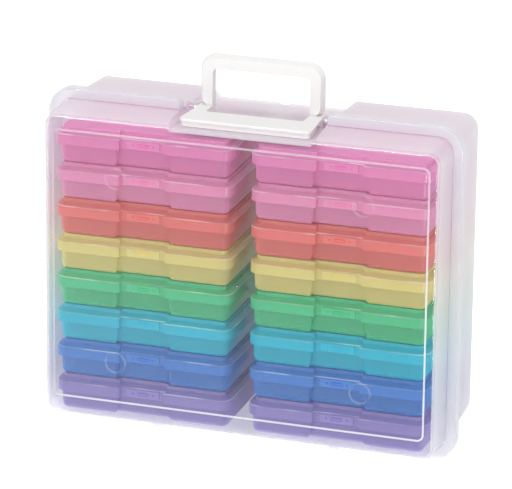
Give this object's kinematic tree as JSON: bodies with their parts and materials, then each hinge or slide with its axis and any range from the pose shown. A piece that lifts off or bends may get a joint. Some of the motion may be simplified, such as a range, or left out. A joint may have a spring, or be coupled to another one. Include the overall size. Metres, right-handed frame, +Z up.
{
  "type": "photo keeper case",
  "caption": "Upright translucent carrying case with a swing-down front cover, a white handle that is also the latch, and stacked lidded inner boxes for photo prints in rainbow colours.",
  "frame": {"origin": "middle of the footprint, on the surface the upright case stands on", "axes": "+X along the width, -Y towards the front cover, +Z up"},
  "size_m": [0.384, 0.135, 0.3472],
  "materials": {
    "outer_case": "clear frosted polypropylene, injection moulded",
    "handle": "white polypropylene, satin",
    "magenta_case": "translucent magenta polypropylene, satin",
    "rose_case": "translucent rose polypropylene, satin",
    "coral_case": "translucent coral polypropylene, satin",
    "yellow_case": "translucent yellow polypropylene, satin",
    "green_case": "translucent green polypropylene, satin",
    "cyan_case": "translucent cyan polypropylene, satin",
    "blue_case": "translucent blue polypropylene, satin",
    "lilac_case": "translucent lilac polypropylene, satin"
  },
  "bodies": {
    "rear_shell": {"rear_shell": "outer_case"},
    "front_cover": {"front_cover": "outer_case"},
    "handle_latch": {"handle_latch": "handle"},
    "case_left_1": {"tray_left_1": "magenta_case", "lid_left_1": "magenta_case"},
    "case_left_2": {"tray_left_2": "rose_case", "lid_left_2": "rose_case"},
    "case_left_3": {"tray_left_3": "coral_case", "lid_left_3": "coral_case"},
    "case_left_4": {"tray_left_4": "yellow_case", "lid_left_4": "yellow_case"},
    "case_left_5": {"tray_left_5": "green_case", "lid_left_5": "green_case"},
    "case_left_6": {"tray_left_6": "cyan_case", "lid_left_6": "cyan_case"},
    "case_left_7": {"tray_left_7": "blue_case", "lid_left_7": "blue_case"},
    "case_left_8": {"tray_left_8": "lilac_case", "lid_left_8": "lilac_case"},
    "case_right_1": {"tray_right_1": "magenta_case", "lid_right_1": "magenta_case"},
    "case_right_2": {"tray_right_2": "rose_case", "lid_right_2": "rose_case"},
    "case_right_3": {"tray_right_3": "coral_case", "lid_right_3": "coral_case"},
    "case_right_4": {"tray_right_4": "yellow_case", "lid_right_4": "yellow_case"},
    "case_right_5": {"tray_right_5": "green_case", "lid_right_5": "green_case"},
    "case_right_6": {"tray_right_6": "cyan_case", "lid_right_6": "cyan_case"},
    "case_right_7": {"tray_right_7": "blue_case", "lid_right_7": "blue_case"},
    "case_right_8": {"tray_right_8": "lilac_case", "lid_right_8": "lilac_case"}
  },
  "joints": [
    {"name": "cover_hinge", "type": "hinge", "parent": "rear_shell", "child": "front_cover", "pos_m": [0, -0.02165, 0.0032], "axis": [1, 0, 0], "range_deg": [0, 120]},
    {"name": "handle_hinge", "type": "hinge", "parent": "rear_shell", "child": "handle_latch", "pos_m": [0, -0.0005, 0.295], "axis": [-1, 0, 0], "range_deg": [0, 90]},
    {"name": "slide_left_1", "type": "slide", "parent": "rear_shell", "child": "case_left_1", "axis": [0, -1, 0], "range_m": [0, 0.08]},
    {"name": "slide_left_2", "type": "slide", "parent": "rear_shell", "child": "case_left_2", "axis": [0, -1, 0], "range_m": [0, 0.08]},
    {"name": "slide_left_3", "type": "slide", "parent": "rear_shell", "child": "case_left_3", "axis": [0, -1, 0], "range_m": [0, 0.08]},
    {"name": "slide_left_4", "type": "slide", "parent": "rear_shell", "child": "case_left_4", "axis": [0, -1, 0], "range_m": [0, 0.08]},
    {"name": "slide_left_5", "type": "slide", "parent": "rear_shell", "child": "case_left_5", "axis": [0, -1, 0], "range_m": [0, 0.08]},
    {"name": "slide_left_6", "type": "slide", "parent": "rear_shell", "child": "case_left_6", "axis": [0, -1, 0], "range_m": [0, 0.08]},
    {"name": "slide_left_7", "type": "slide", "parent": "rear_shell", "child": "case_left_7", "axis": [0, -1, 0], "range_m": [0, 0.08]},
    {"name": "slide_left_8", "type": "slide", "parent": "rear_shell", "child": "case_left_8", "axis": [0, -1, 0], "range_m": [0, 0.08]},
    {"name": "slide_right_1", "type": "slide", "parent": "rear_shell", "child": "case_right_1", "axis": [0, -1, 0], "range_m": [0, 0.08]},
    {"name": "slide_right_2", "type": "slide", "parent": "rear_shell", "child": "case_right_2", "axis": [0, -1, 0], "range_m": [0, 0.08]},
    {"name": "slide_right_3", "type": "slide", "parent": "rear_shell", "child": "case_right_3", "axis": [0, -1, 0], "range_m": [0, 0.08]},
    {"name": "slide_right_4", "type": "slide", "parent": "rear_shell", "child": "case_right_4", "axis": [0, -1, 0], "range_m": [0, 0.08]},
    {"name": "slide_right_5", "type": "slide", "parent": "rear_shell", "child": "case_right_5", "axis": [0, -1, 0], "range_m": [0, 0.08]},
    {"name": "slide_right_6", "type": "slide", "parent": "rear_shell", "child": "case_right_6", "axis": [0, -1, 0], "range_m": [0, 0.08]},
    {"name": "slide_right_7", "type": "slide", "parent": "rear_shell", "child": "case_right_7", "axis": [0, -1, 0], "range_m": [0, 0.08]},
    {"name": "slide_right_8", "type": "slide", "parent": "rear_shell", "child": "case_right_8", "axis": [0, -1, 0], "range_m": [0, 0.08]}
  ],
  "couplings": [
    {"joint": "slide_left_1", "follows": "cover_hinge", "m_per_rad": 0.038},
    {"joint": "slide_left_2", "follows": "cover_hinge", "m_per_rad": 0.038},
    {"joint": "slide_left_3", "follows": "cover_hinge", "m_per_rad": 0.038},
    {"joint": "slide_left_4", "follows": "cover_hinge", "m_per_rad": 0.038},
    {"joint": "slide_left_5", "follows": "cover_hinge", "m_per_rad": 0.038},
    {"joint": "slide_left_6", "follows": "cover_hinge", "m_per_rad": 0.038},
    {"joint": "slide_left_7", "follows": "cover_hinge", "m_per_rad": 0.038},
    {"joint": "slide_left_8", "follows": "cover_hinge", "m_per_rad": 0.038},
    {"joint": "slide_right_1", "follows": "cover_hinge", "m_per_rad": 0.038},
    {"joint": "slide_right_2", "follows": "cover_hinge", "m_per_rad": 0.038},
    {"joint": "slide_right_3", "follows": "cover_hinge", "m_per_rad": 0.038},
    {"joint": "slide_right_4", "follows": "cover_hinge", "m_per_rad": 0.038},
    {"joint": "slide_right_5", "follows": "cover_hinge", "m_per_rad": 0.038},
    {"joint": "slide_right_6", "follows": "cover_hinge", "m_per_rad": 0.038},
    {"joint": "slide_right_7", "follows": "cover_hinge", "m_per_rad": 0.038},
    {"joint": "slide_right_8", "follows": "cover_hinge", "m_per_rad": 0.038}
  ]
}
